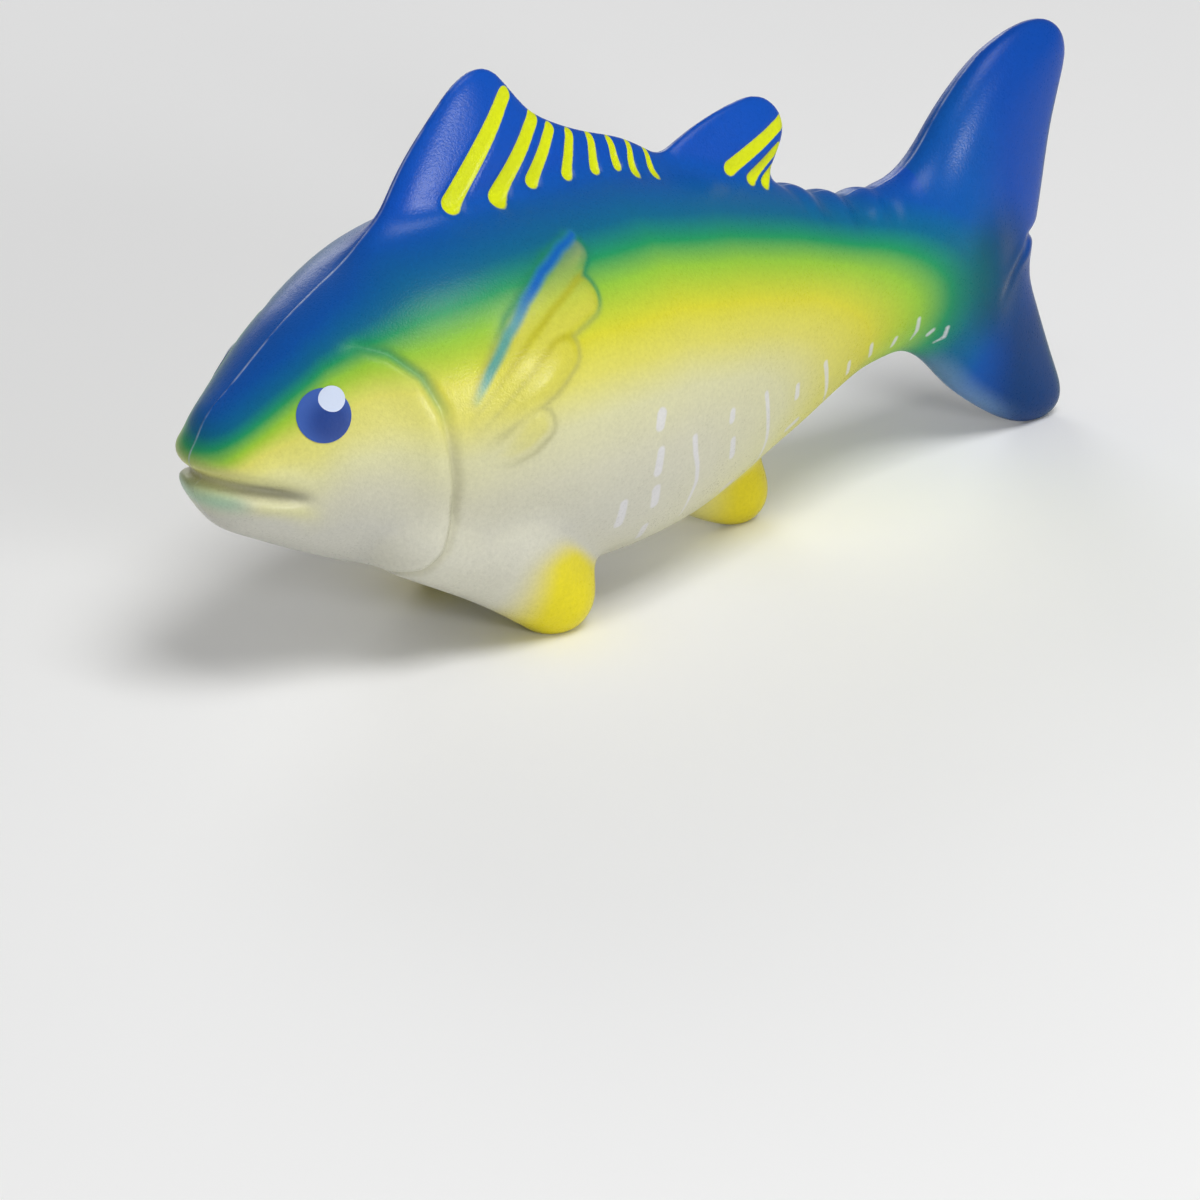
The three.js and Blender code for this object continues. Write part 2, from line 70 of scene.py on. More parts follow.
def closed_loop(points, per_side=4):
    """A rounded loop through the points: on each side a cubic whose end slopes are half the chord
    between the neighbouring points."""
    p = np.asarray(points, float)
    before, after, beyond = np.roll(p, 1, 0), np.roll(p, -1, 0), np.roll(p, -2, 0)
    t = (np.arange(per_side) / per_side)[None, :, None]
    m0, m1 = (after - before)[:, None] / 2, (beyond - p)[:, None] / 2
    a, b = p[:, None], after[:, None]
    loop = a + (b - a) * t + t * (1 - t) * ((m0 - (b - a)) * (1 - t) - (m1 - (b - a)) * t)
    return loop.reshape(-1, 2)


def inside_distance(x, z, loop):
    """How far a point lies inside a closed outline (negative outside): the distance to the nearest of
    its straight pieces, signed by how many of them a level line to the right crosses."""
    a, b = loop, np.roll(loop, -1, 0)
    e = b - a
    px, pz = x[..., None] - a[:, 0], z[..., None] - a[:, 1]
    t = np.clip((px * e[:, 0] + pz * e[:, 1]) / (e ** 2).sum(1), 0, 1)
    far = np.sqrt(((px - t * e[:, 0]) ** 2 + (pz - t * e[:, 1]) ** 2).min(-1))
    level = np.where(np.abs(e[:, 1]) < 1e-9, 1e-9, e[:, 1])
    crossed = ((a[:, 1] > z[..., None]) != (b[:, 1] > z[..., None])) & (px < pz * e[:, 0] / level)
    return np.where(crossed.sum(-1) % 2 == 1, far, -far)


def line_distance(x, z, points, widths=None):
    """Distance to an open line of straight pieces, less the line's half-width, which runs evenly from
    point to point."""
    p = np.asarray(points, float)
    w = np.zeros(len(p)) if widths is None else np.asarray(widths, float)
    a, e = p[:-1], p[1:] - p[:-1]
    px, pz = x[..., None] - a[:, 0], z[..., None] - a[:, 1]
    t = np.clip((px * e[:, 0] + pz * e[:, 1]) / (e ** 2).sum(1), 0, 1)
    far = np.sqrt((px - t * e[:, 0]) ** 2 + (pz - t * e[:, 1]) ** 2)
    return (far - (w[:-1] + (w[1:] - w[:-1]) * t)).min(-1)


def fade(value, start, stop):
    """0 before start, 1 after stop, and an S-curve 3t² - 2t³ between."""
    t = np.clip((value - start) / (stop - start), 0, 1)
    return t * t * (3 - 2 * t)


def bell(value, width):
    """A bell curve, exp(-(value / width)²)."""
    return np.exp(-(value / width) ** 2)


# %% [markdown]
# ## The body
# The body is a loft of ovals along the fish. A few stations give the height of the back and of the belly
# and half the width. A lofted mesh would need its ends stitched; in a formula a blunt rounded cap closes
# the snout, and the rear runs out inside the tail.

# %% Body ovals: x, top, bottom and half the width of each station
BODY = np.array([
    [-80.0, 33.0, 28.6, 1.6], [-74.6, 35.8, 26.0, 4.0], [-68.0, 40.4, 21.9, 9.0], [-56.0, 48.8, 15.5, 15.6],
    [-42.0, 55.0, 9.6, 21.0], [-24.0, 56.4, 5.0, 23.8], [-4.0, 54.8, 5.1, 20.3], [16.0, 48.0, 11.0, 13.5],
    [32.0, 41.6, 16.8, 8.5], [46.0, 38.0, 19.2, 5.6], [58.0, 31.5, 21.0, 3.6], [70.0, 26.0, 24.0, 1.6],
])
SNOUT_START, SNOUT_LENGTH = -69.0, 4.5
REAR_START, REAR_LENGTH = 54.0, 11.0
SKIN_THICKNESS = 0.3


def body_column(k, x):
    """One measure of the body, 1 to 3 as in its stations, at any x."""
    return smooth_curve(BODY[:, 0], BODY[:, k], x)


top, bottom, half = (body_column(k, X)[:, None, None] for k in (1, 2, 3))
middle, tall = (top + bottom) / 2, (top - bottom) / 2
snout = np.maximum(SNOUT_START - X, 0)[:, None, None] / SNOUT_LENGTH
rear = np.maximum(X - REAR_START, 0)[:, None, None] / REAR_LENGTH
closing = 1 - snout ** 3 - rear ** 2
up = (GZ - middle) / tall


def along_x(values):
    return np.gradient(values, STEP, axis=0)


def single(values):
    return np.asarray(values, np.float32)


def body_field():
    """(y/w)² + q² - E over the length of its own slope, which is near the true distance; w is half the
    width, q the height within the oval, and E falls from 1 to nought in the snout and in the tail."""
    value = single(up ** 2 - closing) + ACROSS ** 2 * single(1 / half ** 2)
    lean = -along_x(closing) - 2 * up * (along_x(middle) + up * along_x(tall)) / tall
    lean = single(lean) - ACROSS ** 2 * single(2 * along_x(half) / half ** 3)
    steep = (ACROSS * single(2 / half ** 2)) ** 2 + single((2 * up / tall) ** 2) + lean ** 2
    return value / np.sqrt(steep + 1e-6)


print("body", round(float(2 * half.max()), 1), "mm wide")

# %% [markdown]
# ## Fins that stand up
# The dorsal fins, the tail and the anal fin are plump blades: thickest a few millimetres inside their
# outline and rounded over to a parting line at the edge. An outline in the middle plane and a rounded
# edge profile describe each of them, which keeps their outline exactly where the photograph has it.

# %% Blade outlines
FIRST_DORSAL = [
    (-42.0, 46.0), (-46.0, 52.6), (-42.0, 58.2), (-37.9, 64.0), (-32.3, 69.8), (-28.9, 72.7), (-25.6, 73.8),
    (-23.1, 73.0), (-20.9, 70.2), (-18.0, 66.4), (-14.6, 63.9), (-9.6, 61.3), (-4.0, 59.1), (-0.2, 56.8),
    (2.6, 54.2), (5.0, 46.0),
]
SECOND_DORSAL = [
    (4.0, 46.0), (1.0, 53.0), (6.0, 56.2), (10.0, 57.7), (14.0, 58.7), (18.6, 59.2), (21.6, 57.8),
    (23.3, 55.2), (23.3, 53.0), (21.2, 49.4), (19.6, 46.6), (18.0, 42.0),
]
TAIL = [
    (36.0, 37.0), (41.2, 39.9), (45.4, 43.5), (51.2, 50.0), (57.4, 55.1), (62.7, 57.4), (66.5, 58.1),
    (69.3, 57.9), (71.5, 56.8), (72.8, 54.9), (73.0, 52.2), (71.8, 48.4), (69.6, 42.0), (67.4, 33.0),
    (65.9, 27.2), (64.8, 22.3), (66.0, 17.0), (68.1, 9.6), (69.9, 3.2), (68.2, 0.4), (63.6, 0.0),
    (58.2, 2.2), (50.6, 8.2), (45.2, 14.6), (40.0, 19.8), (34.0, 22.6),
]
ANAL = [
    (-4.0, 9.0), (1.6, 4.6), (7.6, 1.0), (12.6, -0.4), (15.9, 1.5), (16.7, 4.7), (15.6, 9.0), (12.6, 15.0),
    (4.0, 16.0),
]


def blurred(sheet, reach):
    """Three running means of a sheet, each over all points nearer than reach along x and then along z."""
    n = int(round(reach / STEP))
    width = 2 * n + 1
    for axis in (0, 2, 0, 2, 0, 2):
        edges = [(n + 1, n) if k == axis else (0, 0) for k in range(3)]
        total = np.cumsum(np.pad(sheet, edges, mode="edge"), axis=axis)
        last = total.shape[axis]
        sheet = (total.take(range(width, last), axis) - total.take(range(last - width), axis)) / width
    return sheet


RIDGE_BLUR = 1.1


class Blade:
    """A plump fin: half its thickness is T·sqrt(1 - (1 - d/R)²) at a distance d < R inside its outline,
    and T further in. The distance is blurred a little, so that no ridge shows where two edges are near."""

    def __init__(self, outline, thick, edge):
        self.thick = thick + np.zeros_like(GX)
        self.inside = blurred(inside_distance(GX, GZ, closed_loop(outline)), RIDGE_BLUR)
        u = np.clip(self.inside / edge, -1.5, 1)
        self.square = self.thick ** 2 * (1 - (1 - u) ** 2)
        self.slope = (2 * self.thick ** 2 * (1 - u) / edge) ** 2

    def field(self):
        """y² less the squared half-thickness, over the length of its own slope."""
        steep = 4 * ACROSS ** 2 + single(self.slope + 0.4 * self.thick ** 2)
        return (ACROSS ** 2 - single(self.square)) / np.sqrt(steep)


first_dorsal = Blade(FIRST_DORSAL, 3.6 - 1.6 * fade(GZ, 58, 74), 10.0)
second_dorsal = Blade(SECOND_DORSAL, 3.2 - 1.2 * fade(GZ, 50, 59), 8.0)
tail = Blade(TAIL, 6.2 - 2.8 * fade(GX, 44, 72), 11.0)
anal = Blade(ANAL, 4.2, 5.0)
print("blades reach", round(float(GZ[first_dorsal.inside > 0].max()), 1), "mm high")

# %% [markdown]
# ## Pelvic fins
# Under the throat the toy stands on two thick rounded lobes. Each is a pair of tapered rounded rods, one
# from the throat and one from the belly's side, that meet in the foot.

# %% Pelvic lobes
FOOT, FOOT_RADIUS = np.array([-28.0, 11.8, 5.1]), 5.1
ROOTS = [(np.array([-47.5, 11.4, 18.6]), 5.6), (np.array([-36.0, 13.6, 14.6]), 6.2)]


def rod_distance(x, y, z, a, ra, b, rb):
    """Distance to the line from a to b, less a radius that runs evenly from ra to rb."""
    d = b - a
    t = ((x - a[0]) * d[0] + (y - a[1]) * d[1] + (z - a[2]) * d[2]) / (d @ d)
    t = np.clip(t, 0, 1)
    far = (x - a[0] - t * d[0]) ** 2 + (y - a[1] - t * d[1]) ** 2 + (z - a[2] - t * d[2]) ** 2
    return np.sqrt(far) - (ra + (rb - ra) * t)


def soft_union(a, b, reach):
    """The nearer of two surfaces, with a fillet: less (reach - |a - b|)² / 4·reach where they are close."""
    return np.minimum(a, b) - np.maximum(reach - np.abs(a - b), 0) ** 2 / (4 * reach)


# %% [markdown]
# ## Relief on the skin
# The mould also carries shallow relief: the mouth, the edge of the gill cover, the pectoral fin with its
# rays, grooves that hold the fins' stripes, finlets on the ridge of the back and a keel at the fork of
# the tail. They are heights over the side view, added to the skin along its normal.

# %% Mouth and gill cover
MOUTH = np.array([[-82.0, 31.6], [-74.4, 31.2], [-71.7, 30.6], [-68.0, 29.6], [-64.2, 28.4], [-62.0, 27.6]])
GILL = [(-56.5, 45.6), (-54.0, 46.0), (-51.4, 45.0), (-48.8, 42.0), (-47.5, 37.6), (-47.0, 32.2),
        (-46.5, 26.6), (-46.5, 21.8), (-47.6, 17.8), (-50.0, 15.2), (-53.0, 14.2)]
MOUTH_DEPTH, UPPER_LIP, LOWER_LIP = 1.9, 0.5, 0.75
GILL_DEPTH, GILL_SWELL = 0.7, 0.4
mouth_height = GZ - np.interp(GX, MOUTH[:, 0], MOUTH[:, 1])
mouth_length = 1 - fade(GX, -67.5, -62.6)
relief = -MOUTH_DEPTH * bell(mouth_height, 0.85) * mouth_length
relief += UPPER_LIP * bell(mouth_height - 2.6, 1.8) * (1 - fade(GX, -70, -63))
lower_length = (1 - fade(GX, -69, -62)) * (0.3 + 0.7 * fade(GX, -74, -70))
relief += LOWER_LIP * bell(mouth_height + 2.4, 1.7) * lower_length
gill_ends = (1 - 0.7 * fade(-GX, 49.5, 56.5)) * (1 - fade(-GX, 54, 57))
relief -= GILL_DEPTH * bell(line_distance(GX, GZ, GILL), 0.6) * gill_ends
gill_front = inside_distance(GX, GZ, np.array(GILL + [(-70.0, 14.0), (-70.0, 46.0)]))
swelling = bell(gill_front - 2.2, 2.2) * (gill_front > -0.5)
relief += GILL_SWELL * swelling * gill_ends * fade(GX, -62, -54)
print("mouth cut", round(float(-relief.min()), 2), "mm deep, lips", round(float(relief.max()), 2), "mm proud")

# %% [markdown]
# The pectoral fin lies against the flank. Four rays spread from its root; each is a long low petal that
# rises from the flank towards its free end, and where two petals meet there is a crease.

# %% Pectoral fin: each petal's spine, half its width at each point of it, and its height
PETALS = [
    ([(-43.0, 37.6), (-40.9, 39.9), (-38.3, 42.6), (-35.2, 45.4), (-31.0, 47.7), (-26.4, 49.9),
      (-22.0, 51.6)], [0.8, 1.3, 1.6, 1.85, 2.1, 2.1, 1.35], 1.15),
    ([(-43.0, 35.4), (-38.9, 39.2), (-35.2, 42.4), (-29.6, 45.6), (-25.1, 47.2)],
     [0.9, 1.4, 1.8, 2.6, 2.7], 1.25),
    ([(-42.9, 33.2), (-37.9, 36.4), (-33.9, 39.1), (-31.0, 41.9)], [0.9, 1.8, 2.5, 2.9], 1.25),
    ([(-42.3, 30.2), (-39.6, 30.8), (-37.6, 32.0), (-36.0, 33.4)], [0.9, 2.0, 2.4, 2.5], 1.05),
]
LEADING_RAY = (
    [(-43.4, 38.0), (-40.3, 41.7), (-37.1, 45.2), (-33.1, 48.3), (-28.8, 50.7), (-24.4, 52.3), (-21.0, 53.0)],
    [0.5, 0.55, 0.5, 0.42, 0.36, 0.33, 0.3])
PETAL_RISE, PETAL_BLUR = 13.0, 0.72
pectoral = np.zeros_like(GX)
for spine, widths, height in PETALS:
    edge = np.clip(-line_distance(GX, GZ, spine, widths) / max(widths), 0, 1)
    rise = fade(GX - spine[0][0] + 0.6 * (GZ - spine[0][1]), 0, PETAL_RISE)
    pectoral = np.maximum(pectoral, height * rise * np.sqrt(1 - (1 - edge) ** 2))
relief += blurred(pectoral, PETAL_BLUR)
print("pectoral fin up to", round(float(pectoral.max()), 2), "mm proud")

# %% [markdown]
# The stripes of the dorsal fins lie in shallow grooves, which stop short of the fin's edge, so that its
# outline stays smooth. The finlets are a row of low waves along the ridge of the back.

# %% Stripe grooves: both ends of each stripe, and half its width at each end
FIRST_STRIPES = [
    ((-22.2, 69.6), (-33.3, 58.2), 1.1, 1.4), ((-18.0, 65.5), (-26.5, 57.4), 1.0, 1.25),
    ((-15.6, 63.4), (-20.5, 58.1), 0.82, 1.05), ((-12.5, 61.9), (-14.7, 57.5), 0.7, 0.88),
    ((-9.1, 60.6), (-10.0, 56.9), 0.58, 0.75), ((-6.0, 59.4), (-6.2, 56.3), 0.5, 0.65),
    ((-2.9, 58.1), (-3.9, 55.0), 0.45, 0.6), ((-0.1, 56.5), (-0.9, 54.0), 0.4, 0.52),
]
SECOND_STRIPES = [
    ((22.4, 54.8), (12.2, 51.3), 0.95, 1.05), ((21.4, 51.6), (15.4, 49.0), 0.7, 0.85),
    ((20.2, 48.9), (17.8, 47.7), 0.6, 0.7),
]
STRIPES = [([a, b], [wa, wb]) for a, b, wa, wb in FIRST_STRIPES + SECOND_STRIPES]
STRIPE_DEPTH = 0.35


def stroke_distance(x, z, strokes, spread=1.0):
    """Distance to the nearest of some brush strokes, whose half-widths are spread by a factor."""
    far = [line_distance(x, z, line, np.multiply(widths, spread)) for line, widths in strokes]
    return np.min(far, axis=0)


in_a_fin = fade(np.maximum(first_dorsal.inside, second_dorsal.inside), 0.9, 2.4)
relief -= STRIPE_DEPTH * fade(-stroke_distance(GX, GZ, STRIPES), -0.35, 0.35) * in_a_fin
print(len(STRIPES), "stripes")

# %% Finlets, and the keel and crease at the fork of the tail
FINLET_HEIGHT, FINLET_PITCH, FIRST_FINLET = 0.36, 5.6, 24.6
KEEL, KEEL_HEIGHT = [(68.0, 26.0), (62.0, 26.4), (56.0, 25.2), (50.0, 24.6)], 0.9
CREASE, CREASE_DEPTH = [(67.5, 28.4), (63.8, 27.9), (59.5, 25.1), (55.6, 22.0)], 0.7
below_ridge = top - GZ
finlets = np.cos(2 * np.pi * (GX - FIRST_FINLET + 0.35 * below_ridge) / FINLET_PITCH)
finlet_row = bell(below_ridge - 0.5, 2.6) * fade(GX, 21, 24) * (1 - fade(GX, 37, 42))
relief += FINLET_HEIGHT * finlets * finlet_row
keel = bell(line_distance(GX, GZ, KEEL), 1.5) * fade(GX, 54, 64) * fade(tail.inside, 0.5, 4.0)
relief += KEEL_HEIGHT * keel
relief -= CREASE_DEPTH * bell(line_distance(GX, GZ, CREASE), 0.9) * fade(GX, 54, 62)
print("relief from", round(float(relief.min()), 2), "to", round(float(relief.max()), 2), "mm")

# %% [markdown]
# ## The whole fish on the lattice
# The body, the blades and the lobes are joined with fillets whose reach is read off the photograph: wide
# where the tail and the lobes grow out of the body, tighter where the dorsal and anal fins meet it. Inside
# the tail the body is pushed away, so that the blade alone rounds the tail's rear edge. The ground cuts
# the soles flat.

# %% Field
NOTCH_FILLET, TAIL_FILLET, ANAL_FILLET, ROOT_FILLET, LOBE_FILLET = 1.5, 5.0, 2.5, 3.0, 4.5
SOLE_HEIGHT, PUSHED_AWAY, FAR_AWAY = 0.02, 7.0, 1e3
dorsal_fillet = single(3.2 - 0.8 * fade(GX, -24, -6))
field = body_field() - SKIN_THICKNESS + single(PUSHED_AWAY * fade(GX, 54, 67))
dorsals = soft_union(first_dorsal.field(), second_dorsal.field(), NOTCH_FILLET)
for blade, reach in ((dorsals, dorsal_fillet), (tail.field(), TAIL_FILLET), (anal.field(), ANAL_FILLET)):
    field = soft_union(field, blade, reach)
# The lobes are worked out only on the stretch of the fish where they lie
near = (X > -66) & (X < -12)
near_x = single(X[near])[:, None, None]
lobes = FAR_AWAY
for root_at, radius in ROOTS:
    lobe = rod_distance(near_x, ACROSS, single(Z), root_at, radius, FOOT, FOOT_RADIUS)
    lobes = soft_union(lobes, lobe, ROOT_FILLET)
field[near] = soft_union(field[near], lobes, LOBE_FILLET)
field = np.maximum(field - single(relief), SOLE_HEIGHT - single(Z))
print("field", field.shape, "inside share", round(float((field < 0).mean()), 3))

# %% [markdown]
# ## From the field to a skin
# In each lattice cell that the skin crosses, one vertex goes to the mean of the crossings on the cell's
# edges; around each crossed lattice edge the four cells' vertices make a face. This is the surface-nets
# way of drawing a level surface: even, four-sided faces, all as whole arrays. One step down the slope
# then puts each vertex on the skin, and the slope is its normal, so seams between pieces don't show.

# %% Skin of one half


def crossings(f, axis):
    """Where neighbouring lattice points lie on either side of the skin, and how far along the edge."""
    a = np.moveaxis(f, axis, 0)[:-1]
    b = np.moveaxis(f, axis, 0)[1:]
    cut = (a < 0) != (b < 0)
    share = np.where(cut, a / np.where(cut, a - b, 1), 0)
    return np.moveaxis(cut, 0, axis), np.moveaxis(share, 0, axis)


def half_skin(f):
    """Vertices, in lattice steps, and faces of the level surface on one side of the parting plane."""
    cells = tuple(n - 1 for n in f.shape)
    total = np.zeros(cells + (3,), np.float32)
    count = np.zeros(cells, np.float32)
    cuts = []
    for axis in range(3):
        cut, share = crossings(f, axis)
        cuts.append((cut, np.moveaxis(f, axis, 0)[:-1]))
        others = [k for k in range(3) if k != axis]
        for di in (0, 1):
            for dj in (0, 1):
                pick = [slice(None)] * 3
                pick[others[0]] = slice(di, di + cells[others[0]])
                pick[others[1]] = slice(dj, dj + cells[others[1]])
                c, s = cut[tuple(pick)], share[tuple(pick)]
                count += c
                total[..., axis] += s
                total[..., others[0]] += di * c
                total[..., others[1]] += dj * c
    filled = count > 0
    index = np.full(cells, -1, np.int64)
    index[filled] = np.arange(filled.sum())
    place = np.argwhere(filled) + total[filled] / count[filled][:, None]
    faces = []
    for axis in range(3):
        cut = np.moveaxis(cuts[axis][0], axis, 0)
        low = cuts[axis][1]
        o1, o2 = [(1, 2), (2, 0), (0, 1)][axis]
        ids = np.moveaxis(index, (axis, o1, o2), (0, 1, 2))
        kept = [k for k in range(3) if k != axis]
        if kept != [o1, o2]:
            cut, low = np.swapaxes(cut, 1, 2), np.swapaxes(low, 1, 2)
        i, j, k = np.nonzero(cut[:, 1:-1, 1:-1])
        quad = np.stack([ids[i, j, k], ids[i, j + 1, k], ids[i, j + 1, k + 1], ids[i, j, k + 1]], 1)
        inward = low[i, j + 1, k + 1] >= 0
        quad[inward] = quad[inward][:, ::-1]
        faces.append(quad)
    faces = np.concatenate(faces)
    return place, faces[(faces >= 0).all(1)]


def sampled(f, place):
    """Lattice values between lattice points, by the shares of the eight corners of the cell."""
    i = np.clip(np.floor(place).astype(int), 0, np.array(f.shape[:3]) - 2)
    t = place - i
    out = 0
    for dx in (0, 1):
        for dy in (0, 1):
            for dz in (0, 1):
                w = (t[:, 0] if dx else 1 - t[:, 0]) * (t[:, 1] if dy else 1 - t[:, 1])
                w = w * (t[:, 2] if dz else 1 - t[:, 2])
                value = f[i[:, 0] + dx, i[:, 1] + dy, i[:, 2] + dz]
                out = out + (w[:, None] if value.ndim > 1 else w) * value
    return out


place, faces = half_skin(field)
slope = np.stack(np.gradient(field, STEP), -1)
# The slope across the parting plane is the mirror image on its other side
slope[:, 0, :, 1] = -slope[:, 1, :, 1]
on_seam = np.abs(place[:, 1] - 0.5) < 1e-4
for _ in range(2):
    g = sampled(slope, place)
    place = place - (sampled(field, place) / np.maximum((g ** 2).sum(1), 0.2))[:, None] * g / STEP
    place[on_seam, 1] = 0.5
normals = sampled(slope, place)
normals[on_seam, 1] = 0
normals /= np.linalg.norm(normals, axis=1)[:, None]
CORNER = np.array([X[0], Y[0], Z[0]])
skin = CORNER + place * STEP
skin[on_seam, 1] = 0
print("half skin", len(skin), "vertices,", len(faces), "faces,", int(on_seam.sum()), "on the seam")

# %% [markdown]
# ## Airbrushed colour
# The paint is sprayed on in soft bands that follow the fish: blue on the back, through green to lime and
# yellow, and then bare cream foam on the belly. An image texture could hold it, but each band depends on
# little more than the height over a curved line, so colours are worked out for every vertex instead.

# %% Spray colours


def tint(code):
    """A hex colour as linear light: c/12.92 when c is small, else ((c + 0.055)/1.055) to the power 2.4."""
    c = np.array([int(code[i:i + 2], 16) for i in (0, 2, 4)]) / 255
    return np.where(c <= 0.04045, c / 12.92, ((c + 0.055) / 1.055) ** 2.4)


def over(colour, code, share):
    """A coat of another colour over what is there."""
    return colour + (tint(code) - colour) * np.clip(share, 0, 1)[:, None]


# Colours at heights over the lime line, and the two lines they are measured from
# The lowest knot, a greyer cream, is painted shade at the bottom of the belly
SPRAY = [(-30, "c2c1b6"), (-22, "c8c6b0"), (-15, "cccaa0"), (-9.5, "cfca62"), (-5, "cbc736"), (0, "8dbc3c"),
         (3, "24905a"), (5.8, "0f6488"), (9.5, "0e52a4")]
LIME_LINE = np.array([
    [-78, 31.4], [-72.3, 34.0], [-67.4, 37.0], [-63.7, 39.4], [-58.6, 42.6], [-54.2, 44.2], [-49.1, 44.9],
    [-42.3, 45.8], [-34, 46.9], [-24, 47.4], [-10, 46.6], [4, 43.2], [18, 38.6], [30, 33.8], [40, 30.6],
    [46, 28.4], [50, 26.0], [80, 20.0],
])
TAIL_LINE = np.array([[0, 30.0], [10, 33.0], [16, 36.0], [20, 38.2], [24, 39.6], [28, 39.8], [34, 39.0]])


def spray_height(x, z):
    """Height over the lime line, or how far behind the tail's line, whichever is more. The bands are
    narrower on the head."""
    over_lime = z - np.interp(x, LIME_LINE[:, 0], LIME_LINE[:, 1])
    head = fade(-x, 44, 62)
    over_lime = over_lime * np.where(over_lime > 0, 1 + 1.3 * head, 1 + 0.6 * head + 1.8 * fade(-x, 62, 72))
    behind = 0.52 * (x - np.interp(z, TAIL_LINE[:, 0], TAIL_LINE[:, 1]))
    return -soft_union(-over_lime, -behind, 7.0)


def body_paint(x, z):
    """The sprayed bands, then the coats on the back's fins, the tail, the lips and the cheeks."""
    height = spray_height(x, z)
    knots = [h for h, code in SPRAY]
    shades = np.array([tint(code) for h, code in SPRAY])
    colour = np.stack([np.interp(height, knots, shades[:, k]) for k in range(3)], 1)
    ridge = body_column(1, x)
    colour = over(colour, "0f4cae", fade(z - ridge, -0.5, 4.0) * (x < 44))
    # The tail: royal blue lobes and a dark green-blue middle
    on_tail = fade(x, 50, 60)
    colour = over(colour, "0c46a2", on_tail)
    colour = over(colour, "07376e", on_tail * (1 - fade(z, 14, 30)))
    heart = np.hypot((x - 55.0) / 10.0, (z - 25.5) / 11.0)
    colour = over(colour, "053c66", 0.85 * (1 - fade(heart, 0.35, 1.15)) * fade(x, 47, 52))
    colour = over(colour, "0a6a5a", 0.6 * bell(x - 49.5, 5.0) * bell(z - 26.0, 7.0))
    tail_depth = inside_distance(x, z, TAIL_LOOP)
    rear_edge = (1 - fade(tail_depth, 0.2, 2.2)) * fade(x, 63, 68) * (1 - fade(z, 44, 52))
    colour = over(colour, "0c4a5c", 0.7 * rear_edge)
    front_edge = (1 - fade(tail_depth, 0.4, 3.4)) * (1 - fade(z, 12, 18)) * fade(x, 42, 46)
    colour = over(colour, "6d8fae", 0.6 * front_edge * (1 - fade(x, 54, 62)))
    # Lips, painted shade in the grooves of the mouth and of the gill cover, and a thinner coat on the cheeks
    mouth = z - np.interp(x, MOUTH[:, 0], MOUTH[:, 1])
    colour = over(colour, "c9c78a", 0.6 * bell(mouth - 1.6, 1.2) * fade(-x, 62, 68))
    colour = over(colour, "9cc9b0", 0.8 * bell(mouth + 2.2, 1.6) * fade(-x, 69.5, 73.5))
    lower_lip = bell(mouth + 2.0, 1.4) * fade(-x, 61, 65) * (1 - fade(-x, 69, 72))
    colour = over(colour, "cfcd95", 0.7 * lower_lip)
    # A grey-olive line along the mouth's groove: painted shade in the groove
    colour = over(colour, "8f8d78", 0.75 * bell(mouth, 0.7) * fade(-x, 62.6, 65))
    # A tint along the gill cover's groove, teal above and grey-olive below, darker than the paint around it:
    # painted shade in the groove
    gill = bell(line_distance(x, z, GILL), 0.75) * (1 - fade(-x, 54, 57))
    colour = over(colour, "2f8f62", 0.75 * gill * fade(z, 34, 42))
    colour = over(colour, "a3a184", 0.55 * gill * (1 - fade(z, 30, 38)))
    cheek = fade(-x, 44, 52) * (1 - fade(height, -6, 0)) * fade(height, -20, -12)
    return over(colour, "d8d69a", 0.35 * cheek)


def fin_paint(colour, x, y, z):
    """Yellow rays of the pectoral fin with a blue leading ray, painted shade in its creases and a painted
    shadow along its trailing edges, and yellow tips of the belly fins.
    """
    flank = fade(y, 8, 11)
    petals = np.sort([-line_distance(x, z, s, w) for s, w, _ in PETALS], axis=0)
    rays = fade(petals[-1], -0.2, 0.6) * fade(x, -43, -36) * flank
    colour = over(colour, "c6be38", rays * (0.12 + 0.6 * fade(z, 36, 45)) * (1 - 0.65 * fade(z, 45, 51)))
    colour = over(colour, "cbc65a", 0.4 * (1 - 0.5 * fade(z, 44, 50)) * rays * fade(petals[-1], 0.7, 1.6))
    # Darker olive where two petals meet: painted shade in the creases
    crease = rays * (1 - fade(petals[-1] - petals[-2], 0.0, 1.5))
    colour = over(colour, "aaa31e", 0.65 * crease * fade(z, 33, 42))
    # Along the petals' trailing edges, green above and grey-olive below: a painted shadow under the raised
    # edges
    rim = bell(petals[-1] + 0.1, 0.45) * fade(x + 0.5 * z, -29, -21) * flank
    colour = over(colour, "1f7f5a", 0.7 * rim * fade(z, 43, 47))
    colour = over(colour, "8f8d5e", 0.4 * rim * (1 - fade(z, 43, 47)))
    ray = fade(-line_distance(x, z, *LEADING_RAY), -0.35, 0.35) * flank
    colour = over(colour, "35949a", 0.85 * ray * fade(x, -44.5, -41.0))
    colour = over(colour, "0f60b4", ray * fade(x, -38, -30))
    rods = [rod_distance(x, y, z, a, r, FOOT, FOOT_RADIUS) for a, r in ROOTS]
    pelvic = fade(-np.min(rods, axis=0), -2.6, -1.0)
    colour = over(colour, "d3d1bb", 0.35 * pelvic)
    colour = over(colour, "d9cc24", pelvic * fade(x - 0.25 * z, -42.0, -33.0) * (1 - fade(z, 11, 16.5)))
    under_belly = 1 - fade(z - body_column(2, x), -1.2, 0.6)
    anal_coat = fade(inside_distance(x, z, ANAL_LOOP), -0.6, 0.6) * under_belly
    return over(colour, "cdbf22", anal_coat * (0.35 + 0.65 * fade(x, 2, 10)))


TAIL_LOOP, ANAL_LOOP = closed_loop(TAIL), closed_loop(ANAL)
skin_x, skin_y, skin_z = skin.T
paint = fin_paint(body_paint(skin_x, skin_z), skin_x, skin_y, skin_z)
print("paint for", len(paint), "vertices")

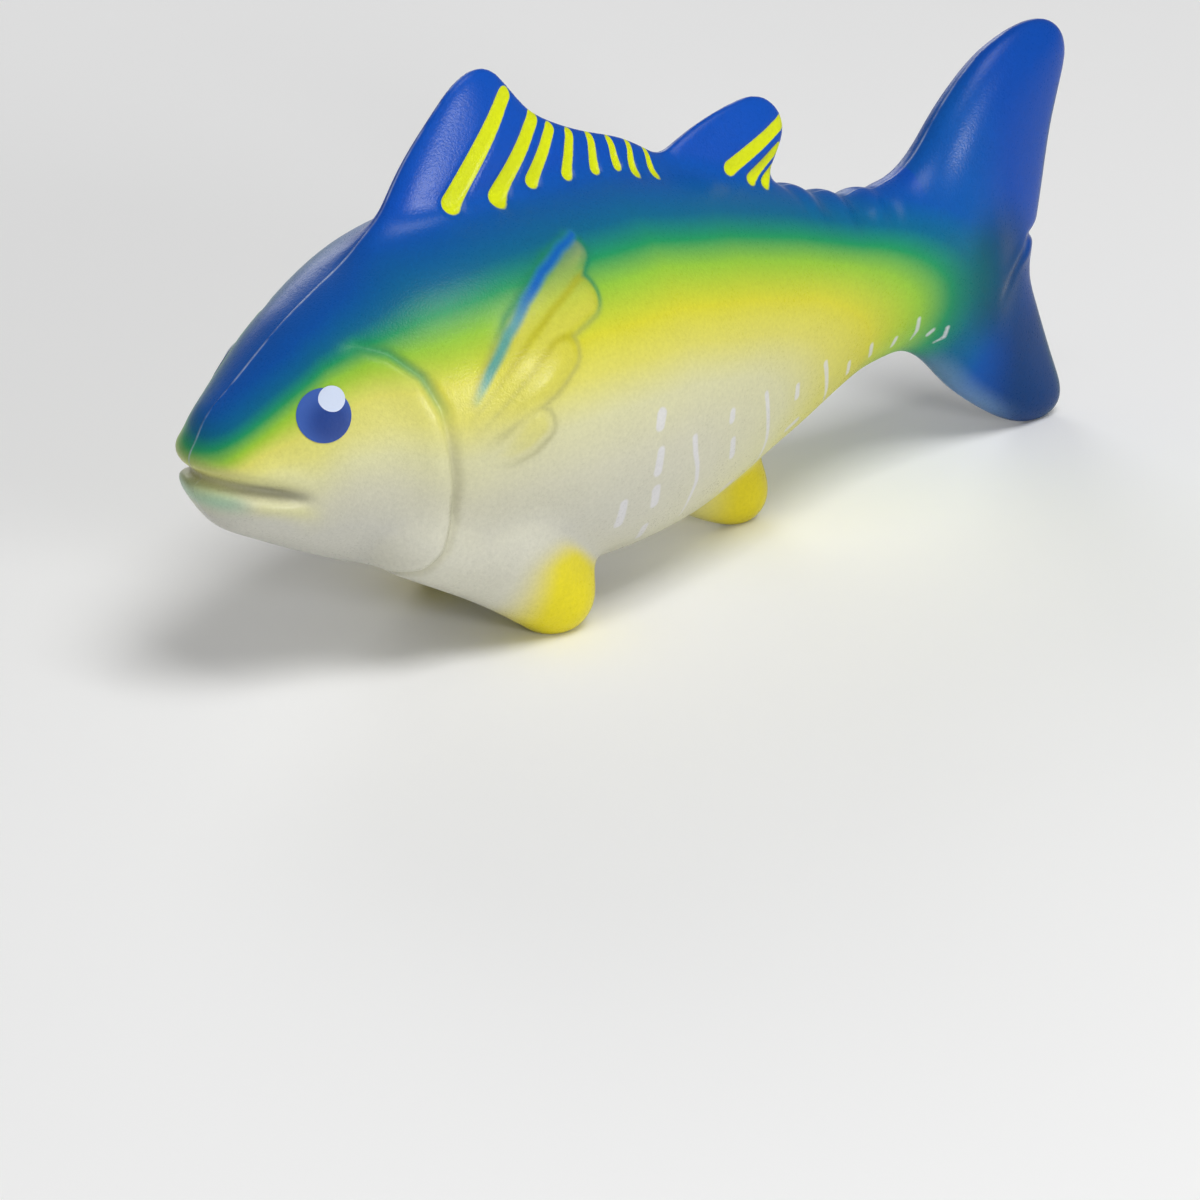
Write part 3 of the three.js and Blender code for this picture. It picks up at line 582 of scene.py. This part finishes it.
# %% [markdown]
# ## Brushed marks
# Pale dots and curved dashes stand in columns on the lower flanks, a little different on each side
# because they were brushed on by hand. Like the stripes on the fins they need crisp edges, finer than
# the mesh, so each vertex holds its distance from the nearest mark and the material draws the edge.

# %% Marks of each side: points along the stroke, and half its width at each of them
LEFT_MARKS = [
    ([(-16.5, 29.8), (-16.9, 28.2)], [0.8, 0.75]), ([(-16.6, 24.5), (-16.8, 21.4)], [0.62, 0.7]),
    ([(-16.4, 18.5), (-15.9, 16.0)], [0.72, 0.66]), ([(-21.9, 18.2), (-21.5, 14.7)], [0.6, 0.7]),
    ([(-15.5, 11.8), (-14.9, 9.6)], [0.55, 0.5]),
    ([(-10.1, 24.2), (-9.7, 21.9), (-8.8, 19.5), (-8.1, 16.7), (-8.2, 13.8), (-8.0, 10.5)],
     [0.48, 0.44, 0.38, 0.34, 0.28, 0.1]),
    ([(-2.4, 25.2), (-2.5, 24.0)], [0.5, 0.55]), ([(-1.7, 20.6), (-1.2, 18.0)], [0.5, 0.55]),
    ([(2.5, 11.8), (0.5, 11.3)], [0.5, 0.45]),
    ([(5.2, 24.9), (6.1, 21.4), (7.5, 16.7), (8.0, 13.0), (7.0, 10.4)], [0.42, 0.38, 0.32, 0.26, 0.1]),
    ([(12.9, 23.0), (13.1, 21.3)], [0.45, 0.5]), ([(15.3, 16.4), (13.2, 15.8)], [0.5, 0.45]),
    ([(19.3, 24.0), (20.4, 20.8), (21.2, 18.8), (22.0, 16.7)], [0.42, 0.36, 0.3, 0.12]),
    ([(25.6, 21.5), (26.1, 19.7)], [0.38, 0.36]), ([(30.6, 22.4), (31.1, 20.5)], [0.36, 0.34]),
    ([(35.9, 21.6), (35.7, 20.4)], [0.34, 0.3]), ([(42.4, 20.1), (43.1, 20.7)], [0.32, 0.28]),
    ([(39.7, 23.5), (39.9, 21.5), (39.4, 20.1)], [0.32, 0.32, 0.1]),
    ([(45.5, 20.4), (45.4, 18.9), (44.0, 18.2)], [0.3, 0.28, 0.1]),
]
RIGHT_MARKS = [
    ([(-16.9, 29.5), (-17.1, 27.8)], [0.75, 0.8]), ([(-16.6, 22.4), (-16.5, 20.0)], [0.7, 0.75]),
    ([(-16.2, 15.9), (-16.3, 12.8)], [0.6, 0.5]),
    ([(-10.4, 28.6), (-9.5, 25.1), (-9.1, 21.2), (-9.1, 17.2), (-9.3, 13.9), (-9.5, 11.4)],
     [0.4, 0.68, 0.66, 0.5, 0.36, 0.15]),
    ([(-2.4, 23.5), (-2.7, 22.2)], [0.8, 0.75]),
    ([(-1.6, 18.3), (-2.3, 16.6), (-2.5, 14.5), (-2.4, 11.9)], [0.4, 0.36, 0.3, 0.15]),
    ([(5.8, 25.6), (6.2, 22.1), (6.5, 18.3), (6.7, 15.1), (6.9, 12.9)], [0.45, 0.5, 0.42, 0.3, 0.15]),
    ([(12.9, 26.5), (12.9, 25.2)], [0.6, 0.6]),
    ([(13.4, 22.1), (13.2, 20.5), (13.0, 18.4)], [0.5, 0.45, 0.25]),
    ([(20.9, 24.9), (21.0, 22.5), (20.7, 20.3), (20.6, 19.5)], [0.4, 0.4, 0.3, 0.15]),
    ([(26.1, 22.9), (26.1, 21.4), (26.1, 20.0)], [0.36, 0.36, 0.2]),
    ([(31.0, 22.6), (31.0, 20.8)], [0.36, 0.3]), ([(36.0, 21.8), (35.8, 20.6)], [0.34, 0.3]),
    ([(39.8, 23.4), (39.8, 21.6), (39.2, 20.4)], [0.3, 0.3, 0.1]),
]
MARK_SPREAD = 1.08
stripes = stroke_distance(skin_x, skin_z, STRIPES)
marks = {side: stroke_distance(skin_x, skin_z, strokes, MARK_SPREAD)
         for side, strokes in (("left", LEFT_MARKS), ("right", RIGHT_MARKS))}
print(len(LEFT_MARKS), "marks on the left,", len(RIGHT_MARKS), "on the right")

# %% [markdown]
# ## Shader sums
# Node trees are easier to read as sums. This small class holds a socket; adding or multiplying it puts
# in a Math node, and its node method makes any other node.

# %% Socket class


class Flow:
    """A socket of a material's tree. Sums on it add Math nodes."""

    def __init__(self, tree, socket=None):
        self.tree, self.socket = tree, socket

    def node(self, kind, sockets=None, output=0, **settings):
        """A node of this kind: its settings first, then the values or links of its sockets."""
        made = self.tree.nodes.new(kind)
        for name, value in settings.items():
            setattr(made, name, value)
        for key, value in (sockets or {}).items():
            if isinstance(value, Flow):
                self.tree.links.new(value.socket, made.inputs[key])
            else:
                made.inputs[key].default_value = value
        return Flow(self.tree, made.outputs[output])

    def math(self, operation, a, b=0.0):
        return self.node("ShaderNodeMath", {0: a, 1: b}, operation=operation)

    def __add__(self, other):
        return self.math("ADD", self, other)

    def __sub__(self, other):
        return self.math("SUBTRACT", self, other)

    def __rsub__(self, other):
        return self.math("SUBTRACT", other, self)

    def __mul__(self, other):
        return self.math("MULTIPLY", self, other)

    def __truediv__(self, other):
        return self.math("DIVIDE", self, other)

    __radd__, __rmul__ = __add__, __mul__

    def clamped(self):
        return self.node("ShaderNodeClamp", {"Value": self})

    def mixed(self, a, b):
        """Colour a where this is 0, colour b where it is 1. Sockets 6 and 7 of the node are its colours."""
        return self.node("ShaderNodeMix", {"Factor": self, 6: a, 7: b}, output=2, data_type="RGBA")


def new_material(name):
    material = bpy.data.materials.new(name)
    material.use_nodes = True
    tree = material.node_tree
    return material, Flow(tree), tree.nodes["Principled BSDF"]


def rgba(code):
    return (*(float(v) for v in tint(code)), 1.0)


# %% [markdown]
# ## The painted foam
# Foam that is moulded against a smooth wall has a thin satin skin. Close up it is not quite smooth: the
# spray dries in fine specks, tiny pores break up the shine, and a hair-fine flash runs along the parting
# line. The stripes and marks are a second paint, drawn where their distance falls below nought.

# %% Foam material
FLASH_WIDTH = 0.16
GRAIN_DEPTH = 0.12 * MM
foam, flow, skin_shader = new_material("airbrushed_foam")
sprayed = flow.node("ShaderNodeAttribute", attribute_name="paint")
stripe_edge = flow.node("ShaderNodeAttribute", output="Fac", attribute_name="stripe")
mark_edge = flow.node("ShaderNodeAttribute", output="Fac", attribute_name="mark")
spot = flow.node("ShaderNodeTexCoord", output="Object")
specks = flow.node("ShaderNodeTexNoise", {"Vector": spot, "Scale": 1800.0, "Detail": 3.0, "Roughness": 0.6})
clouds = flow.node("ShaderNodeTexNoise", {"Vector": spot, "Scale": 160.0, "Detail": 4.0, "Roughness": 0.55})
pores = flow.node("ShaderNodeTexNoise", {"Vector": spot, "Scale": 3600.0, "Detail": 2.0, "Roughness": 0.5})
striped = (0.5 - (stripe_edge + (specks - 0.5) * 0.12) / 0.14).clamped()
marked = (0.5 - (mark_edge + (specks - 0.5) * 0.25) / 0.3).clamped()
two_tone = striped.mixed(sprayed, rgba("cfd817"))
two_tone = (marked * 0.72).mixed(two_tone, rgba("d3d2da"))
shade = 0.84 + 0.24 * specks + 0.08 * clouds
grey = flow.node("ShaderNodeCombineColor", {0: shade, 1: shade, 2: shade})
dusted = flow.node("ShaderNodeMix", {"Factor": 1.0, 6: two_tone, 7: grey}, output=2,
                   data_type="RGBA", blend_type="MULTIPLY")
across = flow.node("ShaderNodeAttribute", output="Fac", attribute_name="seam") / FLASH_WIDTH
flash = flow.math("EXPONENT", 0 - across * across)
worn = (flash * (clouds - 0.42) * 3.0).clamped()
colour = worn.mixed(dusted, rgba("b9c6dc"))
rough = 0.22 + 0.1 * pores + 0.04 * clouds
grain = 0.5 * pores + 0.5 * specks + 1.6 * flash
flow.tree.links.new(colour.socket, skin_shader.inputs["Base Color"])
flow.tree.links.new(rough.socket, skin_shader.inputs["Roughness"])
bumpy = flow.node("ShaderNodeBump", {"Strength": 0.35, "Distance": GRAIN_DEPTH, "Height": grain})
flow.tree.links.new(bumpy.socket, skin_shader.inputs["Normal"])
skin_shader.inputs["Specular IOR Level"].default_value = 0.13
print("foam material:", len(flow.tree.nodes), "nodes")

# %% [markdown]
# ## Skins as separate pieces
# A squeezed flank, a bent tail and a bent fin each need their own stretch of skin. The half skin is parted
# along lines where nothing moves yet.

# %% Parting the skin
BODY_ZONE, FIRST_ZONE, SECOND_ZONE, TAIL_ZONE = range(4)
TAIL_SEAM = 33.0
FIRST_FRONT, NOTCH, SECOND_REAR = -50.0, 1.2, 28.0
FIRST_RISE, SECOND_RISE = 2.2, 1.6
# The root line of the second dorsal fin slopes down to the tail
SECOND_BASE, SECOND_UP = np.array([11.5, 51.2]), np.array([0.350, 0.937])
second_height = (skin[:, [0, 2]] - SECOND_BASE) @ SECOND_UP
first_height = skin_z - body_column(1, skin_x)
zones = np.full(len(skin), BODY_ZONE)
zones[(first_height > FIRST_RISE) & (skin_x > FIRST_FRONT) & (skin_x < NOTCH)] = FIRST_ZONE
zones[(second_height > SECOND_RISE) & (skin_x > NOTCH) & (skin_x < SECOND_REAR)] = SECOND_ZONE
zones[skin_x > TAIL_SEAM] = TAIL_ZONE
corner_zones = zones[faces]
alike = (corner_zones == corner_zones[:, :1]).all(1)
face_zone = np.where(alike, corner_zones[:, 0], BODY_ZONE)
print("faces of each zone on one half:", np.bincount(face_zone).tolist())


def stretch(zone):
    """The vertices and faces of one zone of the half skin, numbered afresh."""
    quads = faces[face_zone == zone]
    used, fresh = np.unique(quads, return_inverse=True)
    return used, fresh.reshape(-1, 4)


def make_skin(name, zone, which):
    """A mesh of one zone: the right half, its mirror image on the left, or both joined on the seam."""
    used, quads = stretch(zone)
    flip = np.array([1.0, -1.0, 1.0])
    rows = {"paint": paint[used], "stripe": stripes[used], "points": skin[used], "normals": normals[used]}
    rows["mark"], rows["seam"] = marks["right"][used], skin[used][:, 1]
    mirrored = {**rows, "points": rows["points"] * flip, "normals": rows["normals"] * flip}
    mirrored["mark"] = marks["left"][used]
    if which == "left":
        rows, quads = mirrored, quads[:, ::-1]
    if which == "both":
        free = rows["points"][:, 1] > 0
        twin = np.arange(len(used))
        twin[free] = len(used) + np.arange(free.sum())
        quads = np.concatenate([quads, twin[quads][:, ::-1]])
        rows = {key: np.concatenate([rows[key], mirrored[key][free]]) for key in rows}
    return make_piece(name, rows, quads, foam)


def make_piece(name, rows, quads, material):
    """A mesh object at the origin with its place in its vertices, its own normals and its attributes."""
    mesh = bpy.data.meshes.new(name)
    mesh.from_pydata((rows["points"] * MM).tolist(), [], quads.tolist())
    for key, value in rows.items():
        if key == "paint":
            full = np.concatenate([value, np.ones((len(value), 1))], 1).astype(np.float32)
            mesh.attributes.new(key, "FLOAT_COLOR", "POINT").data.foreach_set("color", full.ravel())
        elif key not in ("points", "normals"):
            mesh.attributes.new(key, "FLOAT", "POINT").data.foreach_set("value", value.astype(np.float32))
    mesh.materials.append(material)
    mesh.update()
    mesh.shade_smooth()
    mesh.normals_split_custom_set_from_vertices(rows["normals"].tolist())
    piece = bpy.data.objects.new(name, mesh)
    bpy.context.scene.collection.objects.link(piece)
    print(name, len(rows["points"]), "vertices", len(quads), "faces")
    return piece


# %% [markdown]
# Each side of the body zone becomes a skin of its own, the left one the mirror image of the right, in the
# place of its flank, its pectoral and pelvic fins and the common parts of the trunk.

# %% Flanks
COMMON = ("head", "back", "belly", "foam_core", "tail_stock", "anal_fin")
for which, sign in (("left", -1.0), ("right", 1.0)):
    piece = make_skin(which + "_skin", BODY_ZONE, which)
    which + "_side"
    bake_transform(piece)
    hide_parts(which + "_flank", which + "_pectoral_fin", which + "_pelvic_fin", *COMMON)

# %% [markdown]
# The fins on the back and the tail bend like foam too. Each gets a skin of its own, both halves joined on
# the seam, in the place of its solid.

# %% Fins on the back and the tail
first_piece = make_skin("first_dorsal_skin", FIRST_ZONE, "both")
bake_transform(first_piece)
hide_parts("first_dorsal_fin")
second_piece = make_skin("second_dorsal_skin", SECOND_ZONE, "both")
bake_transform(second_piece)
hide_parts("second_dorsal_fin")
tail_piece = make_skin("tail_skin", TAIL_ZONE, "both")
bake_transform(tail_piece)
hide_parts("tail_fin")

# %% [markdown]
# ## Eyes
# The eyes are printed on: a blue disc that is a little paler towards its upper front, and a white glint
# over its edge. Discs cut from a plane would stand off the curved head, so a polar grid is laid on the
# tangent plane and each of its points is pushed down to the skin.

# %% Eye discs
EYE, EYE_RADIUS, GLINT_RADIUS = (-60.9, 38.8), 3.5, 1.7
GLINT_SHIFT = (1.65, 1.6)
EYE_DOME, GLINT_DOME, RIM_DIP = 0.22, 0.42, 0.25
nearest = np.argmin(np.hypot(skin_x - EYE[0], skin_z - EYE[1]))
eye_at, eye_out = skin[nearest], normals[nearest]
eye_back = np.array([1.0, 0, 0]) - eye_out[0] * eye_out
eye_back /= np.linalg.norm(eye_back)
eye_up = np.cross(eye_back, eye_out)


def printed_disc(centre, radius, dome, rings=14, around=64):
    """A polar grid r(cos a, sin a) on the tangent plane, pushed onto the skin and raised by a low dome.
    Its last ring dips under the skin, so that no edge hangs in the air."""
    r = np.append(np.linspace(0, 1, rings), 1.0)[:, None]
    a = np.linspace(0, 2 * np.pi, around, endpoint=False)[None, :]
    u, v = centre[0] + radius * r * np.cos(a), centre[1] + radius * r * np.sin(a)
    flat = (eye_at + u[..., None] * eye_back + v[..., None] * eye_up).reshape(-1, 3)
    for _ in range(12):
        flat = flat - sampled(field, (flat - CORNER) / STEP)[:, None] * eye_out
    out = sampled(slope, (flat - CORNER) / STEP)
    out /= np.linalg.norm(out, axis=1)[:, None]
    rise = np.broadcast_to(dome * (0.45 + 0.55 * (1 - r ** 2)), u.shape).copy()
    rise[-1] = -RIM_DIP
    points = flat + rise.reshape(-1, 1) * out
    i, j = np.meshgrid(np.arange(rings), np.arange(around), indexing="ij")
    k = (j + 1) % around
    quads = np.stack([i * around + j, (i + 1) * around + j, (i + 1) * around + k, i * around + k], -1)
    return points, out, quads.reshape(-1, 4), u.ravel(), v.ravel()


def make_disc(name, which, disc, colour, material):
    """A disc of the right eye, or its mirror image on the left."""
    points, out, quads, u, v = disc
    flip = np.array([1.0, -1.0 if which == "left" else 1.0, 1.0])
    # The grid's own turn faces inwards on the right side, and its mirror image faces outwards
    quads = quads if which == "left" else quads[:, ::-1]
    rows = {"points": points * flip, "normals": out * flip, "paint": colour}
    piece = make_piece(name, rows, quads, material)
    which + "_side"
    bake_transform(piece)
    return piece


# %% [markdown]
# The ink of the eyes throws back more light than the sprayed foam, and fine specks break up its shine.
# Each disc holds its own colour in its vertices, so one material serves the eyes and the glints.

# %% Eye ink
ink, flow, ink_shader = new_material("eye_ink")
inked = flow.node("ShaderNodeAttribute", attribute_name="paint")
spot = flow.node("ShaderNodeTexCoord", output="Object")
specks = flow.node("ShaderNodeTexNoise", {"Vector": spot, "Scale": 2400.0, "Detail": 2.0})
flow.tree.links.new(inked.socket, ink_shader.inputs["Base Color"])
flow.tree.links.new((0.3 + 0.12 * specks).socket, ink_shader.inputs["Roughness"])
bumpy = flow.node("ShaderNodeBump", {"Strength": 0.2, "Distance": 0.08 * MM, "Height": specks})
flow.tree.links.new(bumpy.socket, ink_shader.inputs["Normal"])
print("eye ink:", len(flow.tree.nodes), "nodes")

# %% Eyes and glints
eye_disc = printed_disc((0.0, 0.0), EYE_RADIUS, EYE_DOME)
glint_disc = printed_disc(GLINT_SHIFT, GLINT_RADIUS, GLINT_DOME)
eye_u, eye_v = eye_disc[3] / EYE_RADIUS, eye_disc[4] / EYE_RADIUS
eye_colour = np.repeat(tint("0d3884")[None], len(eye_u), 0)
eye_colour = over(eye_colour, "3459a8", fade(np.hypot(eye_u - 0.15, eye_v + 0.35), 0.35, 1.25))
glint_colour = np.repeat(tint("ccd7ec")[None], len(glint_disc[3]), 0)
for which in ("left", "right"):
    eye_piece = make_disc(which + "_eye_disc", which, eye_disc, eye_colour, ink)
    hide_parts(which + "_eye")
    glint_piece = make_disc(which + "_glint_disc", which, glint_disc, glint_colour, ink)
    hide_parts(which + "_eye_glint")

# %% [markdown]
# ## Studio
# A plain product picture needs a pale floor that runs out of view and an even white room. A curved paper
# sweep would hide the horizon, but from this height a wide flat floor does so already. The plain view
# transform keeps the paint as strong as it was mixed.

# %% Floor and room
FLOOR, FLOOR_WHITE, ROOM_LIGHT = 3.0, 0.93, 0.24
corners = [(-FLOOR, -FLOOR, 0), (FLOOR, -FLOOR, 0), (FLOOR, FLOOR, 0), (-FLOOR, FLOOR, 0)]
floor_mesh = bpy.data.meshes.new("floor")
floor_mesh.from_pydata(corners, [], [(0, 1, 2, 3)])
floor_object = bpy.data.objects.new("floor", floor_mesh)
bpy.context.scene.collection.objects.link(floor_object)
paper, _, paper_shader = new_material("pale_floor")
paper_shader.inputs["Base Color"].default_value = (FLOOR_WHITE, FLOOR_WHITE, FLOOR_WHITE, 1)
paper_shader.inputs["Roughness"].default_value = 0.9
floor_mesh.materials.append(paper)

world = bpy.data.worlds.new("white_room")
world.use_nodes = True
background = world.node_tree.nodes["Background"]
background.inputs["Color"].default_value = (1, 1, 1, 1)
background.inputs["Strength"].default_value = ROOM_LIGHT
bpy.context.scene.world = world
bpy.context.scene.view_settings.view_transform = "Standard"
print("floor", 2 * FLOOR, "m wide")

# %% [markdown]
# A broad soft light stands above, a smaller one low on the fish's left side, and a weak one behind. The
# streaks on the fins come from a light that is seen in the gloss alone, so it adds shine and leaves the
# colour of the paint as it is.

# %% Lights


def soft_light(name, place, aim, size, power, gloss_only=False):
    """A square light that looks from its place to its aim; a gloss-only one adds no diffuse light."""
    lamp = bpy.data.lights.new(name, "AREA")
    lamp.size, lamp.energy = size, power
    holder = bpy.data.objects.new(name, lamp)
    look = Vector(aim) - Vector(place)
    holder.matrix_world = Matrix.Translation(place) @ look.to_track_quat("-Z", "Y").to_matrix().to_4x4()
    holder.visible_diffuse = not gloss_only
    bpy.context.scene.collection.objects.link(holder)


soft_light("shine_light", (0.06, -0.96, 0.2), (0, 0, 0.04), 0.2, 5.5, gloss_only=True)
soft_light("side_light", (-0.10, -0.95, 0.26), (0, 0, 0.04), 0.2, 3.3)
soft_light("top_light", (0.0, -0.6, 1.2), (0, 0, 0.03), 0.6, 9.6)
soft_light("fill_light", (0.35, 0.95, 0.4), (0, 0, 0.04), 0.5, 2.6)
print(len(bpy.data.lights), "lights")

# %% [markdown]
# The camera stands where the photograph's camera stood, worked out from the two views of the toy: in front
# on the left side, a little above, with a long lens.

# %% Camera
CAMERA_AT = np.array([-469.13, -645.17, 322.08])
CAMERA_AIM, CAMERA_UP = np.array([0.53446, 0.75403, -0.38182]), np.array([0.27748, 0.27018, 0.92196])
FOCAL_PIXELS, IMAGE_PIXELS, SENSOR = 6359, 1200, 36.0
camera = bpy.data.cameras.new("camera")
camera.sensor_width, camera.lens = SENSOR, SENSOR * FOCAL_PIXELS / IMAGE_PIXELS
camera.clip_start, camera.clip_end = 0.05, 20.0
camera_object = bpy.data.objects.new("camera", camera)
turn = np.stack([np.cross(CAMERA_AIM, CAMERA_UP), CAMERA_UP, -CAMERA_AIM], 1)
camera_object.matrix_world = Matrix.Translation(Vector(CAMERA_AT * MM)) @ Matrix(turn.tolist()).to_4x4()
bpy.context.scene.collection.objects.link(camera_object)
bpy.context.scene.camera = camera_object
print("lens", round(camera.lens, 1), "mm")
